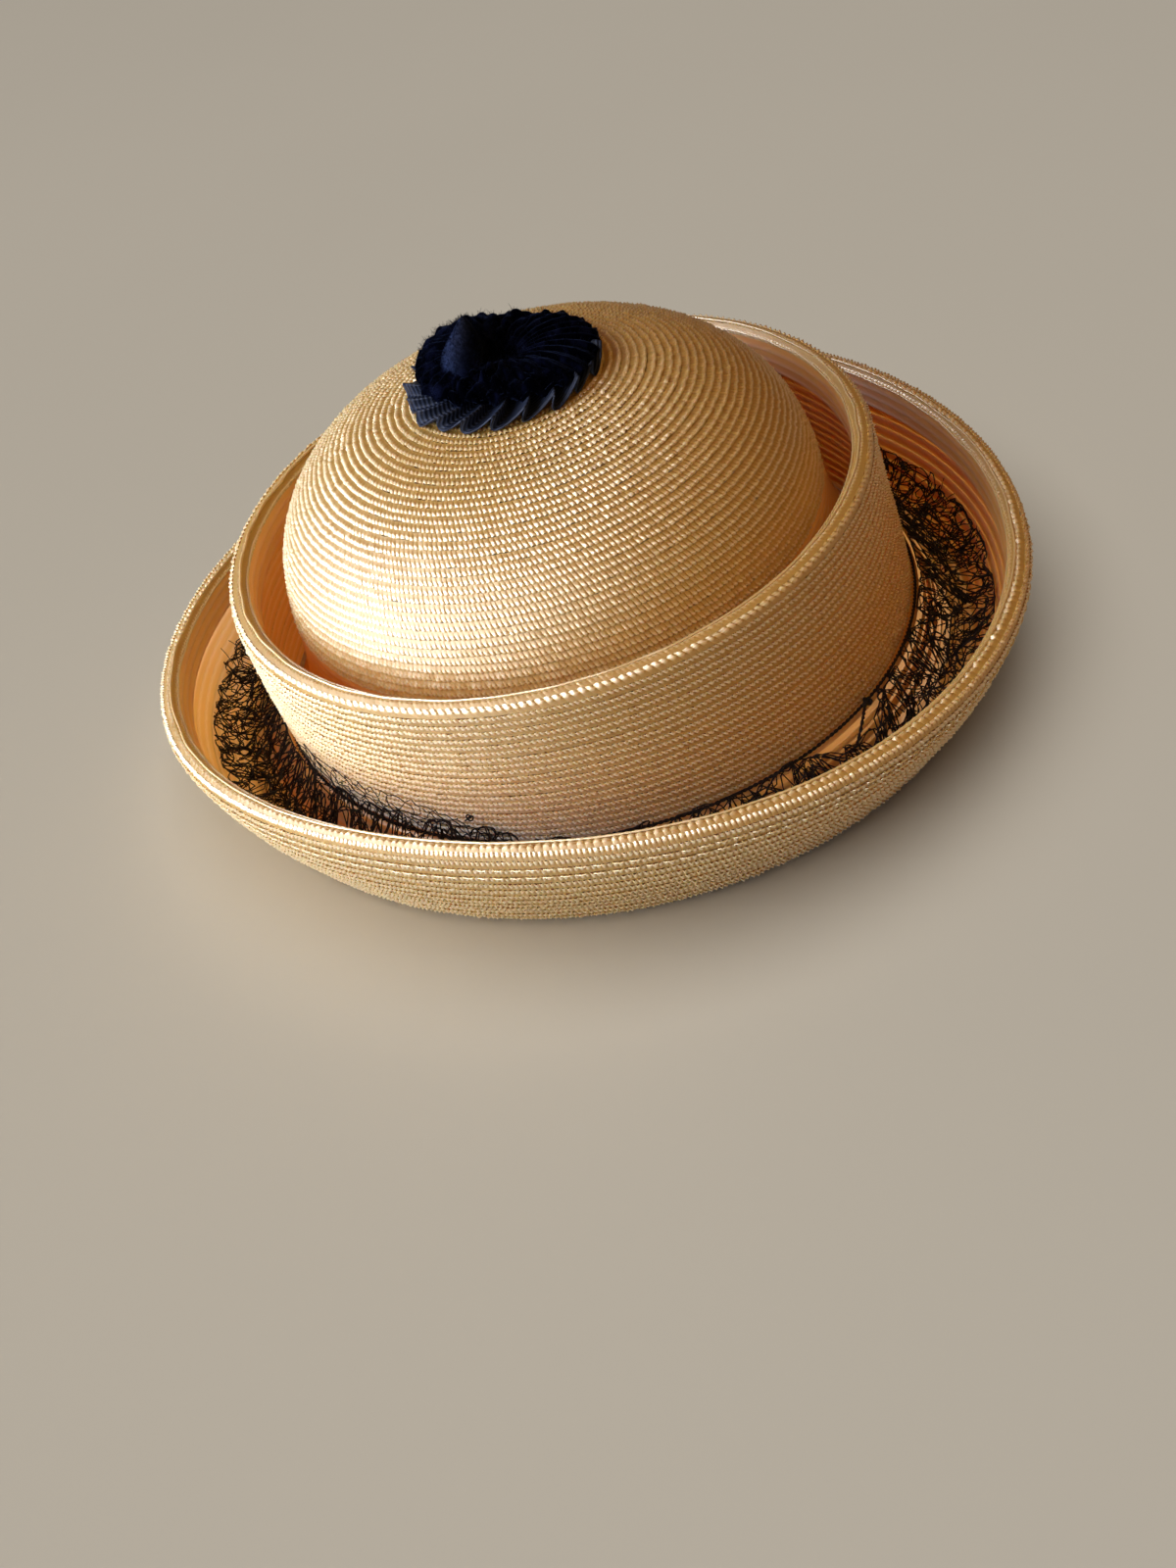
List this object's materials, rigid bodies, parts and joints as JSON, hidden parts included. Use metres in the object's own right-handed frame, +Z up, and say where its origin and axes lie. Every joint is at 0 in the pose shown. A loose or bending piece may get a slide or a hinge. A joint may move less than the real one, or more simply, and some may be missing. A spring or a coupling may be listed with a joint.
{
  "type": "breton hat",
  "caption": "Straw breton hat with a domed crown, a tall turned-up cuff, an oval rolled brim, a dark net veil gathered in the trough and a pleated ribbon and velvet rosette.",
  "frame": {"origin": "middle of the brim's foot, on the surface that the hat stands on", "axes": "+Z up through the crown's top, -Y to the front of the hat, +X to the wearer's left"},
  "size_m": [0.2426, 0.272, 0.1184],
  "materials": {
    "straw": "glossy sewn straw braid, golden",
    "net": "matt net, blue-black",
    "cord": "twisted thread, blue-black",
    "ribbon": "ribbed ribbon, navy, satin",
    "velvet": "velvet, dark navy, with sheen"
  },
  "bodies": {
    "root": {"crown": "straw", "cuff": "straw", "brim": "straw", "veil": "net", "veil_cord": "cord", "rosette_ribbon": "ribbon", "rosette_velvet": "velvet", "rosette_fold": "velvet"}
  },
  "joints": []
}
